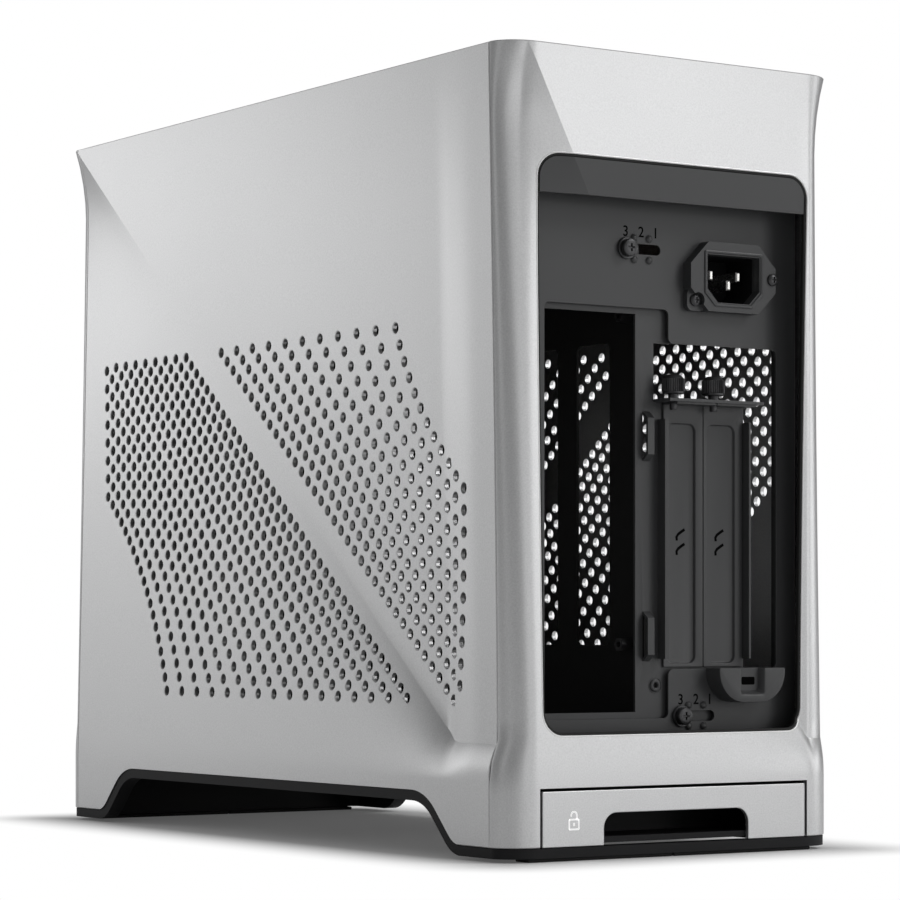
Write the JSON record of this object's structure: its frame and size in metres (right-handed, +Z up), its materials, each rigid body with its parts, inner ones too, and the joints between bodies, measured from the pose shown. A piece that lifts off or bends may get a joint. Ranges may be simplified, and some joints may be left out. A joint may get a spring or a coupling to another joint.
{
  "type": "mini-itx computer case",
  "caption": "Tall narrow computer case with creased aluminium sides, perforated panels, a recessed rear with a sliding divider, and a pull-out panel release.",
  "frame": {"origin": "floor under the middle of the case", "axes": "+Z up, +Y towards the rear ports, +X towards the board side"},
  "size_m": [0.165, 0.366, 0.316],
  "materials": {
    "silver_panel": "bead-blasted, clear anodised, satin",
    "dark_steel": "fine-texture charcoal powder coat",
    "black_steel": "black powder coat, inside the case",
    "black_plastic": "fine moulded texture",
    "black_screw": "black oxide, satin",
    "bright_metal": "nickel plated, bright",
    "pad_rubber": "matt",
    "filter_mesh": "fine nylon mesh in a thin frame",
    "walnut": "oiled, straight grain",
    "button_cap": "satin, turned"
  },
  "bodies": {
    "chassis": {"rear_shell": "silver_panel", "front_shell": "silver_panel", "rear_valance": "dark_steel", "rear_wall": "dark_steel", "lock_bracket": "dark_steel", "front_wall": "black_steel", "bottom_plate": "black_steel", "psu_bracket": "black_steel", "base_frame": "black_plastic", "release_runners": "black_plastic", "top_frame": "black_plastic", "top_port_bar": "black_plastic", "inlet_bezel": "black_plastic", "inlet_socket": "black_plastic", "power_switch": "black_plastic", "audio_jack": "black_plastic", "inlet_screws": "black_screw", "inlet_pins": "bright_metal", "panel_studs": "bright_metal", "usb_ports": "bright_metal", "foot_pads": "pad_rubber", "bottom_filter": "filter_mesh"},
    "spine": {"spine_plate": "dark_steel", "spine_tray": "black_steel", "board_standoffs": "black_screw", "slot_cover_inner": "dark_steel", "slot_cover_outer": "dark_steel", "thumbscrew_inner": "black_screw", "thumbscrew_outer": "black_screw", "spine_screws": "black_screw", "spine_rivet": "dark_steel"},
    "release_drawer": {"release_face": "silver_panel", "release_slide": "black_plastic"},
    "right_panel": {"right_side_panel": "silver_panel", "right_panel_clips": "black_plastic"},
    "left_panel": {"left_side_panel": "silver_panel", "left_panel_clips": "black_plastic"},
    "top_cover": {"top_panel": "walnut"},
    "button": {"power_button": "button_cap"}
  },
  "joints": [
    {"name": "spine_slide", "type": "slide", "parent": "chassis", "child": "spine", "axis": [-1, 0, 0], "range_m": [0, 0.0147]},
    {"name": "drawer_pull", "type": "slide", "parent": "chassis", "child": "release_drawer", "axis": [0, 1, 0], "range_m": [0, 0.018]},
    {"name": "right_panel_pull", "type": "slide", "parent": "chassis", "child": "right_panel", "axis": [1, 0, 0], "range_m": [0, 0.08]},
    {"name": "left_panel_pull", "type": "slide", "parent": "chassis", "child": "left_panel", "axis": [-1, 0, 0], "range_m": [0, 0.08]},
    {"name": "top_lift", "type": "slide", "parent": "chassis", "child": "top_cover", "axis": [0, 0, 1], "range_m": [0, 0.06]},
    {"name": "button_press", "type": "slide", "parent": "chassis", "child": "button", "axis": [0, 0, -1], "range_m": [0, 0.0012], "stiffness_N_per_m": 500, "springref_m": -0.001}
  ]
}
